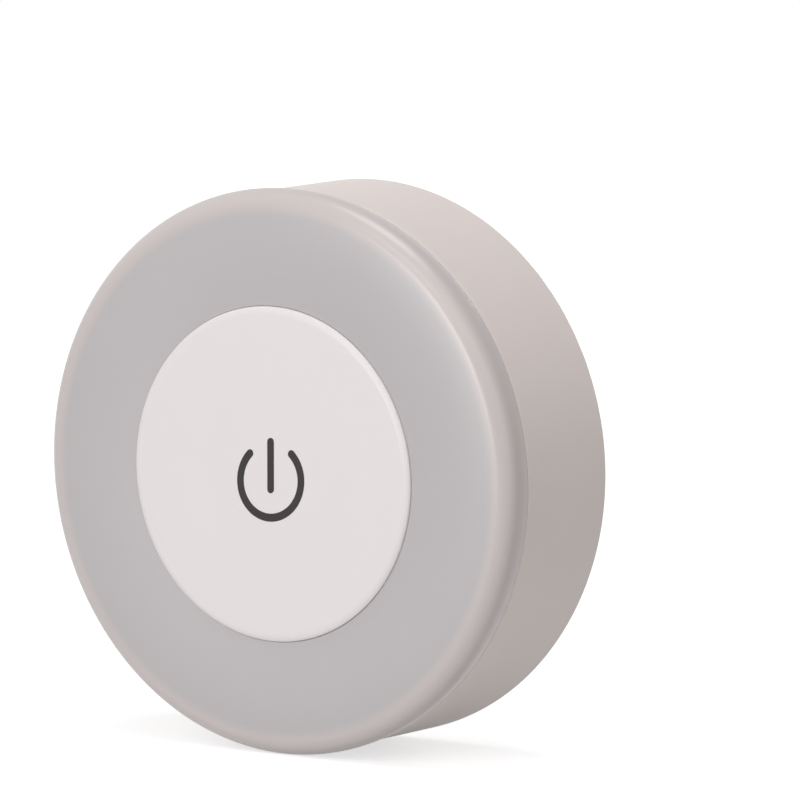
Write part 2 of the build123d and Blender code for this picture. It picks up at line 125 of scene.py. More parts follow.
# The stage: the floor, the room's own light, the lamps and the camera of the photograph
FLOOR_SIDE = 1.7
FLOOR_LEVEL = -LAMP_RADIUS
FLOOR_LIFT = 0.65           # what the camera sees on top of the floor's own shade
ROOM_LIGHT = 0.215
LAMPS = (                   # name, place, side and power in watts
    ("front_light", (-0.3, -1.1, 0.12), 0.3, 3.9),
    ("high_front_light", (0, -0.95, 0.68), 0.5, 2.2),
    ("high_right_light", (0.6, -0.7, 0.8), 0.6, 1.7),
    ("right_light", (1, -0.45, 0.28), 0.6, 0.95),
    ("top_light", (0.05, -0.1, 1.2), 0.6, 5.6),
    ("back_light", (-0.3, 1.15, 0.12), 0.3, 3.6),
)
CAMERA_TURN = math.radians(35)
CAMERA_RISE = math.radians(7)
CAMERA_LENS = 420.6
CAMERA_SENSOR = 36
CAMERA_NEAR = 10 * MM
CAMERA_DISTANCE = 1330.4 * MM
CAMERA_RIGHT = 3.4 * MM
CAMERA_UP = 7.88 * MM


# Sizes and colours

def linear(hex_colour):
    """An sRGB hex colour as the linear values that shaders take."""
    parts = [int(hex_colour[i:i + 2], 16) / 255 for i in (1, 3, 5)]
    return [p / 12.92 if p <= 0.04045 else ((p + 0.055) / 1.055) ** 2.4 for p in parts]


def length(name, description, millimetres):
    """A size that a user can change."""
    return FloatProperty(name=name, description=description, default=millimetres * MM,
                         min=0, unit="LENGTH", precision=5)


def colour(name, description, hex_colour):
    """A colour that a user can change."""
    return FloatVectorProperty(name=name, description=description, size=3, min=0, max=1,
                               default=linear(hex_colour), subtype="COLOR")


class PuckRing(bpy.types.PropertyGroup):
    """Sizes of the milky ring."""
    crown: length("Crown", "Stretch at the rim where the flat front falls away", 8.1)
    bend: length("Bend", "Radius of the crown's curve", 48)
    corner: length("Corner", "Radius of the outer corner", 2.7)
    wall: length("Wall", "Thickness of the front", 2.2)
    lip: length("Lip", "Thickness of the lip inside the housing", 1.3)
    lip_radius: length("Lip radius", "Outside radius of the lip", 37.7)
    hole: length("Hole", "Radius of the hole behind the touch plate", 21.55)
    seat: length("Seat", "Radius of the seat of the touch plate", 23.7)
    edge: length("Edge", "Rounding of the ring's small edges", 0.1)
    bead_width: length("Bead width", "Width of a bead that snaps into the housing", 8)
    bead_height: length("Bead height", "Height of a bead", 1)
    bead_reach: length("Bead reach", "How far the ends of a bead stand out of the lip", 0.35)
    bead_drop: length("Bead drop", "From the seam to the middle of a bead", 1.2)
    bead_edge: length("Bead edge", "Rounding of a bead", 0.12)
    segments: IntProperty(name="Segments", description="Steps round the lamp's axis",
                          default=256, min=32)


class PuckPlate(bpy.types.PropertyGroup):
    """Sizes of the touch plate and of the sign printed on it."""
    radius: length("Radius", "Outside radius of the plate", 23.66)
    edge_width: length("Edge width", "How far in the rounded edge reaches", 1.1)
    edge_drop: length("Edge drop", "How far back the rounded edge reaches", 0.5)
    sign_radius: length("Sign radius", "Radius of the middle of the sign's ring", 5.225)
    sign_stroke: length("Sign stroke", "Width of the printed line", 1.15)
    sign_gap: FloatProperty(name="Sign gap", description="Half of the gap at the sign's top",
                            default=math.radians(43), subtype="ANGLE")
    bar_top: length("Bar top", "Top of the bar above the sign's middle", 6.06)
    bar_bottom: length("Bar bottom", "Foot of the bar below the sign's middle", 1.78)
    sign_across: length("Sign across", "How far the sign sits right of the middle", 0.08)
    sign_drop: length("Sign drop", "How far the sign sits below the middle", 0.86)
    sign_rise: FloatProperty(name="Sign rise", description="How much the print rises to the right",
                             default=0.055)
    ink: length("Ink", "Thickness of the print", 0.02)
    hook_width: length("Hook width", "Width of a snap hook behind the plate", 6)
    hook_wall: length("Hook wall", "Thickness of a hook's arm", 1.2)
    hook_gap: length("Hook gap", "Gap between a hook's arm and the ring", 0.2)
    hook_reach: length("Hook reach", "How far a hook's barb stands out of its arm", 1)
    hook_play: length("Hook play", "Gap between a barb and the ring's back", 0.1)
    hook_head: length("Hook head", "Height of a barb's outer face", 0.9)
    hook_tip: length("Hook tip", "Height of a barb's slope", 1.2)
    hook_edge: length("Hook edge", "Rounding of a hook", 0.12)


class PuckDrum(bpy.types.PropertyGroup):
    """Sizes of the housing."""
    bore: length("Bore", "Inside radius", 37.8)
    back_edge: length("Back edge", "Rounding of the back rim", 0.6)
    seam_edge: length("Seam edge", "Rounding at the seam under the ring", 0.4)
    column: length("Column", "Radius of the columns that take the screws", 3)
    pilot: length("Pilot hole", "Radius of the holes in the columns", 1)
    web: length("Web", "Thickness of the webs and rests on the wall", 1.2)
    rest: length("Rest", "How far a rest stands in from the wall", 1.6)
    bite: length("Bite", "How far a web runs into the wall", 0.3)
    pocket_gap: length("Pocket gap", "Gap round a bead of the ring in its pocket", 0.15)
    hold: length("Hold", "Narrow strip beside a rounded edge that keeps the wall's shading even",
                 0.05)
    rings: IntProperty(name="Rings", description="Steps of the wall from the back to the seam",
                       default=16, min=1)


class PuckPort(bpy.types.PropertyGroup):
    """Sizes of the charging port and of the charge light."""
    width: length("Width", "Width of the recess round the socket", 12.8)
    height: length("Height", "Height of the recess", 7)
    depth: length("Depth", "Depth of the recess", 0.8)
    edge: length("Edge", "Rounding of the recess's rim", 0.15)
    clear: length("Clear", "Stretch round the rim that is kept free of the drum's own points", 0.5)
    gap: length("Gap", "Gap round the socket's shell", 0.17)
    wall: length("Wall", "Sheet of the socket's shell", 0.3)
    lip: length("Lip", "Rounding of the shell's mouth", 0.1)
    tongue: length("Tongue", "Thickness of the tongue", 0.7)
    tongue_corner: length("Tongue corner", "Rounding of the tongue's tip", 0.8)
    heel: length("Heel", "Depth of the block that holds the tongue", 2)
    contact: length("Contact", "Width of a contact", 0.25)
    contact_length: length("Contact length", "Length of a contact", 3.2)
    contact_pitch: length("Contact pitch", "From one contact to the next", 0.5)
    contact_proud: length("Contact proud", "How far a contact stands out of the tongue", 0.02)
    contacts: IntProperty(name="Contacts", description="Contacts on each side of the tongue",
                          default=12, min=1)
    pipe_gap: length("Pipe gap", "Gap round the charge light's pipe", 0.05)
    pipe_dome: length("Pipe dome", "Rounding of the pipe's ends", 0.4)


class PuckBack(bpy.types.PropertyGroup):
    """Sizes of the rear cover, its screws and what stays on the wall."""
    thick: length("Thickness", "Thickness of the cover", 2)
    edge: length("Edge", "Rounding of the cover's rim", 0.4)
    recess_gap: length("Recess gap", "Gap round the steel plate", 0.6)
    recess_edge: length("Recess edge", "Rounding of the recess's rim", 0.3)
    block_wall: length("Block wall", "Wall of the raised block round the recess", 1.4)
    magnet_gap: length("Magnet gap", "Gap round a magnet", 0.1)
    magnet_width: length("Magnet width", "Width of a magnet", 5)
    magnet_length: length("Magnet length", "Length of a magnet", 10)
    rib: length("Rib", "Thickness of a rib", 1)
    rib_height: length("Rib height", "Height of a rib", 1.2)
    rib_inner: length("Rib start", "Radius at which a rib starts", 29.5)
    rib_outer: length("Rib end", "Radius at which a rib ends", 35.5)
    head: length("Screw head", "Radius of a screw's head", 1.9)
    head_height: length("Head height", "Height of a screw's head", 1)
    head_edge: length("Head edge", "Rounding of the head's rim", 0.12)
    shank: length("Shank", "Radius of a screw's shank", 0.95)
    thread: length("Thread", "Depth of a screw's thread", 0.16)
    thread_pitch: length("Thread pitch", "From one turn of the thread to the next", 0.7)
    hole: length("Screw hole", "Radius of the cover's holes", 1.15)
    head_gap: length("Head gap", "Gap round a screw's head", 0.1)
    cross: length("Cross", "Length of the cross in a screw's head", 2.3)
    cross_width: length("Cross width", "Width of the cross", 0.55)
    cross_depth: length("Cross depth", "Depth of the cross", 0.7)
    steel_corner: length("Steel corner", "Corner of the steel plate", 4)
    steel_edge: length("Steel edge", "Rounding of the steel plate's edges", 0.15)
    pad_corner: length("Pad corner", "Corner of the adhesive pad", 3)
    pad_edge: length("Pad edge", "Rounding of the pad's edges", 0.2)


class PuckColours(bpy.types.PropertyGroup):
    """Colours of the finishes."""
    shell: colour("Housing", "White housing", "#EADFDB")
    plate: colour("Touch plate", "White touch plate", "#E9E3E3")
    opal: colour("Ring", "Milky ring where its wall is thin", "#BDB8B9")
    # The rim colour is painted light: a painted glow for light scattered through the thick rim, and
    # a painted highlight along the crown's edge
    opal_rim_glow: colour("Rim", "Milky ring where its rim is thick", "#CAC1BF")
    ink: colour("Sign", "Grey printing ink", "#353030")
    floor: colour("Floor", "Pale floor", "#CCCCCC")


class PuckLight(bpy.types.PropertyGroup):
    """All that can be set."""
    ring: PointerProperty(type=PuckRing)
    plate: PointerProperty(type=PuckPlate)
    drum: PointerProperty(type=PuckDrum)
    port: PointerProperty(type=PuckPort)
    back: PointerProperty(type=PuckBack)
    colours: PointerProperty(type=PuckColours)


# Finishes

def add_node(tree, kind, settings=(), inputs=(), links=()):
    """Adds a node with its settings, input values and links from (node, output)."""
    node = tree.nodes.new(kind)
    for name, value in dict(settings).items():
        setattr(node, name, value)
    for name, value in dict(inputs).items():
        node.inputs[name].default_value = value
    for name, (source, output) in dict(links).items():
        tree.links.new(source.outputs[output], node.inputs[name])
    return node


def opaque(rgb):
    """A colour with nothing to see through it."""
    return (*rgb, 1)


def grain_scale(millimetres):
    """The scale of a noise whose grains are of that size."""
    return 1 / (millimetres * MM)


def start_material(name, low, high, patch, grain, depth, **shader_inputs):
    """A material whose colour drifts between two values over patches, with a fine grain in
    its surface.  Sizes are in millimetres."""
    material = bpy.data.materials.new(name)
    material.use_nodes = True
    tree = material.node_tree
    shader = tree.nodes["Principled BSDF"]
    for key, value in shader_inputs.items():
        shader.inputs[key.replace("_", " ")].default_value = value
    place = add_node(tree, "ShaderNodeTexCoord")
    drift = add_node(tree, "ShaderNodeTexNoise",
                     inputs={"Scale": grain_scale(patch), "Detail": PATCH_DETAIL},
                     links={"Vector": (place, "Object")})
    ramp = add_node(tree, "ShaderNodeValToRGB", links={"Fac": (drift, "Fac")})
    for element, position, rgb in zip(ramp.color_ramp.elements, DRIFT_RANGE, (low, high)):
        element.position = position
        element.color = opaque(rgb)
    tree.links.new(ramp.outputs["Color"], shader.inputs["Base Color"])
    fine = add_node(tree, "ShaderNodeTexNoise",
                    inputs={"Scale": grain_scale(grain), "Detail": GRAIN_DETAIL},
                    links={"Vector": (place, "Object")})
    bump = add_node(tree, "ShaderNodeBump",
                    inputs={"Strength": 1, "Distance": depth * MM},
                    links={"Height": (fine, "Fac")})
    tree.links.new(bump.outputs["Normal"], shader.inputs["Normal"])
    return material


def shade(rgb, share):
    """A colour made darker or lighter by a share."""
    return [min(1, part * share) for part in rgb]


def eroded_white_abs(rgb):
    """ABS from a spark-eroded mould: an even, matte white whose fine grain softens every
    highlight.  The real grain of 0.05 mm is drawn at 0.25 mm, so that it shows at all."""
    return start_material("eroded_white_abs", shade(rgb, 0.985), rgb, patch=9, grain=0.25,
                          depth=0.002, Roughness=0.5, IOR=1.53, Specular_IOR_Level=0.3)


def satin_white_abs(rgb):
    """ABS from a polished mould with a light blast: smoother and a little glossier."""
    return start_material("satin_white_abs", shade(rgb, 0.99), rgb, patch=12, grain=0.3,
                          depth=0.001, Roughness=0.38, IOR=1.53, Specular_IOR_Level=0.3)


def opal_polycarbonate(thin, thick):
    """Polycarbonate with a white diffusing powder: light goes in and comes out nearby.  Over
    the dark inside its thin front looks greyer than the opaque white beside it.  The whiter,
    warmer look of the thick rim, which light enters from all sides, is painted light: the
    colour is blended to it by radius, as a painted glow and a painted highlight along the crown's
    edge."""
    material = start_material("opal_polycarbonate", shade(thin, 0.985), thin, patch=14, grain=0.4,
                              depth=0.001, Roughness=0.31, IOR=1.58, Specular_IOR_Level=0.36)
    tree = material.node_tree
    base = tree.nodes["Principled BSDF"].inputs["Base Color"]
    drift = base.links[0].from_socket
    place = add_node(tree, "ShaderNodeTexCoord")
    flat = add_node(tree, "ShaderNodeVectorMath", settings={"operation": "MULTIPLY"},
                    inputs={1: (1, 0, 1)}, links={0: (place, "Object")})
    radius = add_node(tree, "ShaderNodeVectorMath", settings={"operation": "LENGTH"},
                      links={0: (flat, "Vector")})
    # Painted glow and painted highlight: by radius the colour goes from the thin front's grey to
    # the lighter, warmer rim colour given as thick
    rim_glow_share = add_node(tree, "ShaderNodeMapRange", settings={"interpolation_type": "SMOOTHSTEP"},
                         inputs={"From Min": GLOW_START_RADIUS, "From Max": GLOW_FULL_RADIUS},
                         links={"Value": (radius, "Value")})
    mix = add_node(tree, "ShaderNodeMix", settings={"data_type": "RGBA"})
    tree.links.new(rim_glow_share.outputs["Result"], mix.inputs["Factor"])
    tree.links.new(drift, mix.inputs["A"])
    mix.inputs["B"].default_value = opaque(thick)
    tree.links.new(mix.outputs["Result"], base)
    return material


def printed_ink(rgb):
    """Pad-printed ink: dead flat, with the faint speckle of the pad."""
    return start_material("printed_ink", shade(rgb, 0.9), shade(rgb, 1.08), patch=0.8, grain=0.15,
                          depth=0.002, Roughness=0.55, IOR=1.5, Specular_IOR_Level=0.25)


def bright_white_abs():
    """ABS loaded with titanium white, polished, to throw light forward."""
    return start_material("bright_white_abs", linear("#F0F0EE"), linear("#F6F6F4"), patch=8,
                          grain=0.3, depth=0.0005, Roughness=0.25, IOR=1.53)


def nickel_plate(name="nickel_plate", roughness=0.28):
    """Nickel over steel: a warm grey metal that is bright but never a clean mirror."""
    return start_material(name, linear("#B9B5AC"), linear("#CBC7BE"), patch=2, grain=0.12,
                          depth=0.001, Metallic=1, Roughness=roughness)


def tinned_steel():
    """Tin over sheet steel: the nickel's colour, duller."""
    return nickel_plate("tinned_steel", 0.35)


def zinc_plate():
    """Cold-rolled steel with clear zinc: grey, faintly blue, with soft mill clouds."""
    return start_material("zinc_plate", linear("#A3A7AB"), linear("#BCBFC2"), patch=4, grain=0.15,
                          depth=0.002, Metallic=1, Roughness=0.38)


def gold_plate():
    """Hard gold over nickel on contacts: a pale, slightly brushed yellow."""
    return start_material("gold_plate", linear("#D9B25A"), linear("#E6C473"), patch=0.6, grain=0.05,
                          depth=0.0005, Metallic=1, Roughness=0.24)


def copper_foil():
    """Rolled copper foil, slightly tarnished."""
    return start_material("copper_foil", linear("#A8643F"), linear("#C47F55"), patch=3, grain=0.2,
                          depth=0.002, Metallic=1, Roughness=0.35)


def white_solder_mask():
    """White solder mask over glass fibre: glossy, with the weave just felt beneath."""
    return start_material("white_solder_mask", linear("#DDE0DC"), linear("#E8EAE6"), patch=3,
                          grain=0.4, depth=0.003, Roughness=0.3, IOR=1.5)


def yellow_phosphor():
    """Silicone filled with yellow phosphor over a chip: a waxy, lemon-coloured face."""
    return start_material("yellow_phosphor", linear("#E4C646"), linear("#EFD768"), patch=0.6,
                          grain=0.1, depth=0.002, Roughness=0.35, IOR=1.41)


def black_epoxy():
    """Moulded black epoxy of chips: charcoal, with a fine sandy grain."""
    return start_material("black_epoxy", linear("#1B1B1C"), linear("#262627"), patch=0.7,
                          grain=0.12, depth=0.004, Roughness=0.6, IOR=1.55)


def black_nylon():
    """Glass-filled nylon of the socket's tongue: near black, dull, with a fine fibre grain."""
    return start_material("black_nylon", linear("#161617"), linear("#1F1F20"), patch=0.8,
                          grain=0.1, depth=0.003, Roughness=0.45, IOR=1.53)


def tan_ceramic():
    """Fired capacitor ceramic: dull tan."""
    return start_material("tan_ceramic", linear("#8C6B48"), linear("#A4835C"), patch=0.5,
                          grain=0.1, depth=0.003, Roughness=0.5, IOR=1.6)


def natural_nylon():
    """Unfilled nylon of connectors: cream, slightly waxy."""
    return start_material("natural_nylon", linear("#DDD6C4"), linear("#E9E3D2"), patch=1.5,
                          grain=0.2, depth=0.002, Roughness=0.42, IOR=1.53)


def clear_polycarbonate():
    """Clear light pipe: its faint haze comes from the mould's polish."""
    return start_material("clear_polycarbonate", linear("#E6EDEE"), linear("#F2F6F6"), patch=1,
                          grain=0.2, depth=0.001, Roughness=0.12, IOR=1.58,
                          Transmission_Weight=0.85)


def laminated_foil():
    """Pouch foil: aluminium under nylon film, silky, with a shallow orange-peel."""
    return start_material("laminated_foil", linear("#A9ABAE"), linear("#C3C5C8"), patch=5,
                          grain=0.8, depth=0.01, Metallic=0.85, Roughness=0.4)


def amber_tape():
    """Polyimide tape: glossy, deep amber."""
    return start_material("amber_tape", linear("#B06A12"), linear("#CC8420"), patch=2, grain=0.5,
                          depth=0.004, Roughness=0.22, IOR=1.7)


def black_foam():
    """Closed-cell foam tape: soot black, with open cells along its cut edge."""
    return start_material("black_foam", linear("#161616"), linear("#232323"), patch=1, grain=0.25,
                          depth=0.03, Roughness=0.85, IOR=1.45)


def silicone_wire(name, hex_colour):
    """Silicone wire insulation: dusty and soft."""
    rgb = linear(hex_colour)
    return start_material(name, shade(rgb, 0.9), shade(rgb, 1.05), patch=1, grain=0.15,
                          depth=0.003, Roughness=0.55, IOR=1.43)


def seen_rays(tree):
    """The output of a node that is 1 where the camera looks, also in a mirror or through
    something clear, and 0 where a surface gathers light."""
    ray = add_node(tree, "ShaderNodeLightPath")
    mirrored = add_node(tree, "ShaderNodeMath", settings={"operation": "MAXIMUM"},
                        links={0: (ray, "Is Camera Ray"), 1: (ray, "Is Glossy Ray")})
    seen = add_node(tree, "ShaderNodeMath", settings={"operation": "MAXIMUM"},
                    links={0: (mirrored, "Value"), 1: (ray, "Is Transmission Ray")})
    return seen, "Value"


def pale_floor(rgb):
    """A matte sweep.  A light of its own, which only what looks at it sees, lifts it to the
    photograph's white, and the shadow of the lamp stays on it."""
    material = start_material("pale_floor", shade(rgb, 0.995), rgb, patch=300, grain=4,
                              depth=0.01, Roughness=0.9)
    tree = material.node_tree
    amount = add_node(tree, "ShaderNodeMapRange", inputs={"To Max": FLOOR_LIFT},
                      links={"Value": seen_rays(tree)})
    lift = add_node(tree, "ShaderNodeEmission", inputs={"Color": (1, 1, 1, 1)},
                    links={"Strength": (amount, "Result")})
    both = add_node(tree, "ShaderNodeAddShader")
    tree.links.new(tree.nodes["Principled BSDF"].outputs["BSDF"], both.inputs[0])
    tree.links.new(lift.outputs["Emission"], both.inputs[1])
    tree.links.new(both.outputs["Shader"], tree.nodes["Material Output"].inputs["Surface"])
    return material


# Modelling

def arc(centre, radius, first, last, count, rise=None):
    """Points on an arc from one angle in degrees to another, of an ellipse if rise is given."""
    turns = [math.radians(first + (last - first) * i / count) for i in range(count + 1)]
    return [(centre[0] + radius * math.cos(t), centre[1] + (rise or radius) * math.sin(t))
            for t in turns]


def draw_outline(name, points, closed=True):
    """Draws a chain of edges through points and stays in edit mode, all selected."""
    bpy.ops.mesh.primitive_plane_add(size=MM, location=points[0])
    piece = bpy.context.object
    piece.name = piece.data.name = name
    bpy.ops.object.mode_set(mode="EDIT")
    bpy.ops.mesh.select_all(action="SELECT")
    bpy.ops.mesh.merge(type="CENTER")
    loop = points[1:] + points[:1] if closed else points[1:]
    for here, there in zip(points, loop):
        step = Vector(there) - Vector(here)
        bpy.ops.mesh.extrude_region_move(TRANSFORM_OT_translate={"value": step})
    bpy.ops.mesh.select_all(action="SELECT")
    bpy.ops.mesh.remove_doubles(threshold=WELD)
    return piece


def pick(piece):
    """Selects one piece and makes it the active one."""
    bpy.ops.object.select_all(action="DESELECT")
    piece.select_set(True)
    bpy.context.view_layer.objects.active = piece


def settle(piece):
    """Leaves edit mode with the piece's place in its mesh, smooth up to an angle."""
    bpy.ops.object.mode_set(mode="OBJECT")
    pick(piece)
    bpy.ops.object.transform_apply(location=True, rotation=True, scale=True)
    bpy.ops.object.shade_smooth_by_angle(angle=SMOOTH_ANGLE)
    return piece


def close_skin():
    """Merges double points and turns all faces outwards, in edit mode."""
    bpy.ops.mesh.select_all(action="SELECT")
    bpy.ops.mesh.remove_doubles(threshold=WELD)
    bpy.ops.mesh.normals_make_consistent(inside=False)


def spin_section(name, section, segments):
    """Spins a section of (radius, out) points about the lamp's axis."""
    piece = draw_outline(name, [(radius, -out, 0) for radius, out in section])
    bpy.ops.mesh.spin(steps=segments, angle=2 * math.pi, center=(0, 0, 0), axis=(0, 1, 0))
    close_skin()
    return settle(piece)


def pull_out(name, points, step):
    """Fills an outline and pulls it along a step into a solid."""
    piece = draw_outline(name, points)
    bpy.ops.mesh.edge_face_add()
    bpy.ops.mesh.extrude_region_move(TRANSFORM_OT_translate={"value": step})
    close_skin()
    return settle(piece)


def pull_slab(name, outline, back, front):
    """Pulls an outline of (across, up) points out from one distance to another."""
    return pull_out(name, [(across, -back, up) for across, up in outline], (0, back - front, 0))


def pull_bar(name, outline, low, high):
    """Pulls an outline of (across, out) points up from one height to another."""
    return pull_out(name, [(across, -out, low) for across, out in outline], (0, 0, high - low))


def rounded_square(side, corner):
    """The outline of a square with round corners."""
    middle = side / 2 - corner
    centres = ((middle, middle), (-middle, middle), (-middle, -middle), (middle, -middle))
    outline = []
    for step, centre in enumerate(centres):
        first = step * QUARTER
        outline += arc(centre, corner, first, first + QUARTER, SIDE_STEPS)
    return outline


def racetrack(width, height, centre):
    """The outline of a slot with round ends."""
    radius = height / 2
    reach = width / 2 - radius
    outline = arc((centre[0] + reach, centre[1]), radius, -90, 90, SLOT_STEPS)
    return outline + arc((centre[0] - reach, centre[1]), radius, 90, 270, SLOT_STEPS)


def rectangle(low, high):
    """The outline of a rectangle between two corners."""
    return [low, (high[0], low[1]), high, (low[0], high[1])]


def turned(outline, degrees):
    """An outline turned about the lamp's axis."""
    cosine, sine = math.cos(math.radians(degrees)), math.sin(math.radians(degrees))
    return [(across * cosine - up * sine, across * sine + up * cosine) for across, up in outline]


def change(piece, kind, **settings):
    """Gives a piece a modifier with these settings and applies it."""
    modifier = piece.modifiers.new(kind.lower(), kind)
    for name, value in settings.items():
        setattr(modifier, name, value)
    pick(piece)
    bpy.ops.object.modifier_apply(modifier=modifier.name)


def combine(piece, tool, operation):
    """Joins a tool to a piece as one solid, or takes it away, and removes the tool."""
    change(piece, "BOOLEAN", object=tool, operation=operation, solver="EXACT")
    bpy.data.objects.remove(tool)


def soften(piece, width, segments=BEVEL_STEPS):
    """Rounds the sharp edges of a piece."""
    change(piece, "BEVEL", width=width, segments=segments, limit_method="ANGLE",
           angle_limit=SOFT_ANGLE)
    return settle(piece)


def round_edges(piece, width, chosen, clamp):
    """Rounds the edges of the picked piece whose ends both pass a test."""
    for edge in piece.data.edges:
        edge.select = all(chosen(piece.data.vertices[i].co) for i in edge.vertices)
    bpy.ops.object.mode_set(mode="EDIT")
    bpy.ops.mesh.select_mode(type="EDGE")
    bpy.ops.mesh.bevel(offset=width, segments=BEVEL_STEPS, clamp_overlap=clamp)
    bpy.ops.mesh.select_mode(type="VERT")
    settle(piece)


def copy_round(piece, turns):
    """Copies a piece about the lamp's axis, each copy with its own mesh; gives back them all."""
    group = []
    for turn in turns:
        pick(piece)
        bpy.ops.object.duplicate()
        copy = bpy.context.object
        copy.rotation_euler.y = -math.radians(turn)
        group.append(settle(copy))
    bpy.data.objects.remove(piece)
    return group


def shift(piece, step):
    """Moves a piece."""
    piece.location = step
    return settle(piece)


def join(pieces):
    """Makes one object of several."""
    pick(pieces[0])
    for piece in pieces[1:]:
        piece.select_set(True)
    bpy.ops.object.join()
    return pieces[0]


def snap_bars(name, ring, gap):
    """The bars of the ring's snap beads, or with a gap round them those of their pockets."""
    half = ring.bead_width / 2
    face = math.sqrt(ring.lip_radius ** 2 - half ** 2) + ring.bead_reach + gap
    outline = rectangle((ring.lip_radius - ring.lip / 2, -half - gap), (face, half + gap))
    middle, reach = SEAM - ring.bead_drop, ring.bead_height / 2 + gap
    bar = pull_slab(name, turned(outline, BEAD_TURN), middle - reach, middle + reach)
    return copy_round(bar, QUARTERS)


def paint(piece, material):
    """Gives a piece one material."""
    piece.data.materials.clear()
    piece.data.materials.append(material)


def finish_piece(piece, material, node=None, body="lamp"):
    """Paints a piece and puts it on its body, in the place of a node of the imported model."""
    paint(piece, material)
    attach(piece, body)
    if node:
        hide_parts(node)


# Operators

class PuckOperator:
    """What the operators of this file share."""
    bl_options = {"REGISTER", "UNDO"}


class PUCK_OT_stage(PuckOperator, bpy.types.Operator):
    """Add the floor, the lights and the camera"""
    bl_idname = "puck.stage"
    bl_label = "Add stage"

    def execute(self, context):
        scene = context.scene
        self.add_floor(scene)
        self.add_room(scene)
        self.add_lamps(scene)
        self.add_camera(scene)
        scene.view_settings.view_transform = "Standard"
        return {"FINISHED"}

    def add_floor(self, scene):
        """The sweep on which the lamp's lowest point stands."""
        bpy.ops.mesh.primitive_plane_add(size=FLOOR_SIDE, location=(0, 0, FLOOR_LEVEL))
        floor = bpy.context.object
        floor.name = "floor"
        bpy.ops.object.transform_apply(location=True)
        paint(floor, pale_floor(scene.puck_light.colours.floor))

    def add_room(self, scene):
        """A white room that gives less light than the camera sees in it."""
        world = bpy.data.worlds.new("white_room")
        scene.world = world
        world.use_nodes = True
        tree = world.node_tree
        back = tree.nodes["Background"]
        back.inputs["Color"].default_value = (1, 1, 1, 1)
        strength = add_node(tree, "ShaderNodeMapRange",
                            inputs={"To Min": ROOM_LIGHT, "To Max": 1},
                            links={"Value": seen_rays(tree)})
        tree.links.new(strength.outputs["Result"], back.inputs["Strength"])

    def add_lamps(self, scene):
        """Square lights that face the origin."""
        for name, place, side, power in LAMPS:
            light = bpy.data.lights.new(name, "AREA")
            light.shape = "SQUARE"
            light.size = side
            light.energy = power
            lamp = bpy.data.objects.new(name, light)
            scene.collection.objects.link(lamp)
            lamp.location = place
            lamp.rotation_euler = (-Vector(place)).to_track_quat("-Z", "Y").to_euler()

    def add_camera(self, scene):
        """The photograph's camera, fitted to its outlines."""
        camera = bpy.data.cameras.new("camera")
        camera.lens = CAMERA_LENS
        camera.sensor_width = CAMERA_SENSOR
        camera.clip_start = CAMERA_NEAR
        eye = bpy.data.objects.new("camera", camera)
        scene.collection.objects.link(eye)
        turn, rise = CAMERA_TURN, CAMERA_RISE
        away = Vector((math.sin(turn) * math.cos(rise), -math.cos(turn) * math.cos(rise),
                       math.sin(rise)))
        right = Vector((math.cos(turn), math.sin(turn), 0))
        up = away.cross(right)
        aim = Vector((0, -BACK, 0)) + right * CAMERA_RIGHT + up * CAMERA_UP
        eye.location = aim + away * CAMERA_DISTANCE
        eye.rotation_euler = away.to_track_quat("Z", "Y").to_euler()
        scene.camera = eye


class PUCK_OT_light_ring(PuckOperator, bpy.types.Operator):
    """Add the milky ring"""
    bl_idname = "puck.light_ring"
    bl_label = "Add light ring"

    def execute(self, context):
        light = context.scene.puck_light
        ring, colours = light.ring, light.colours
        piece = spin_section("light_ring", self.section(ring), ring.segments)
        beads = [soften(bead, ring.bead_edge) for bead in snap_bars("bead", ring, 0)]
        combine(piece, join(beads), "UNION")
        settle(piece)
        finish_piece(piece, opal_polycarbonate(colours.opal, colours.opal_rim_glow),
                     "diffuser_ring")
        return {"FINISHED"}

    def section(self, ring):
        """The ring's section: flat front, falling crown, corner, leaning side, lip and seat."""
        edge, bend, corner = ring.edge, ring.bend, ring.corner
        crown_start = LAMP_RADIUS - ring.crown
        corner_middle = LAMP_RADIUS - corner
        turn = math.asin((corner_middle - crown_start) / (bend - corner))
        tilt = math.degrees(turn)
        widest = FRONT - bend + (bend - corner) * math.cos(turn)
        lean = LAMP_RADIUS - DRUM_RADIUS
        back_of_front = FRONT - ring.wall
        lip_inner = ring.lip_radius - ring.lip
        section = arc((ring.seat + edge, FRONT - edge), edge, 180, 90, EDGE_STEPS)
        section += arc((crown_start, FRONT - bend), bend, 90, 90 - tilt, CURVE_STEPS)
        section += arc((corner_middle, widest), corner, 90 - tilt, 0, CORNER_STEPS)[1:]
        for step in range(1, SIDE_STEPS + 1):
            share = step / SIDE_STEPS
            section.append((LAMP_RADIUS - lean * share ** BARREL_SHARE,
                            widest + (SEAM + edge - widest) * share))
        return section + [
            (DRUM_RADIUS - edge, SEAM),
            (ring.lip_radius, SEAM),
            (ring.lip_radius, LIP_BACK),
            (lip_inner, LIP_BACK),
            (lip_inner, back_of_front),
            (ring.hole, back_of_front),
            (ring.hole, SEAT_OUT),
            (ring.seat, SEAT_OUT),
        ]


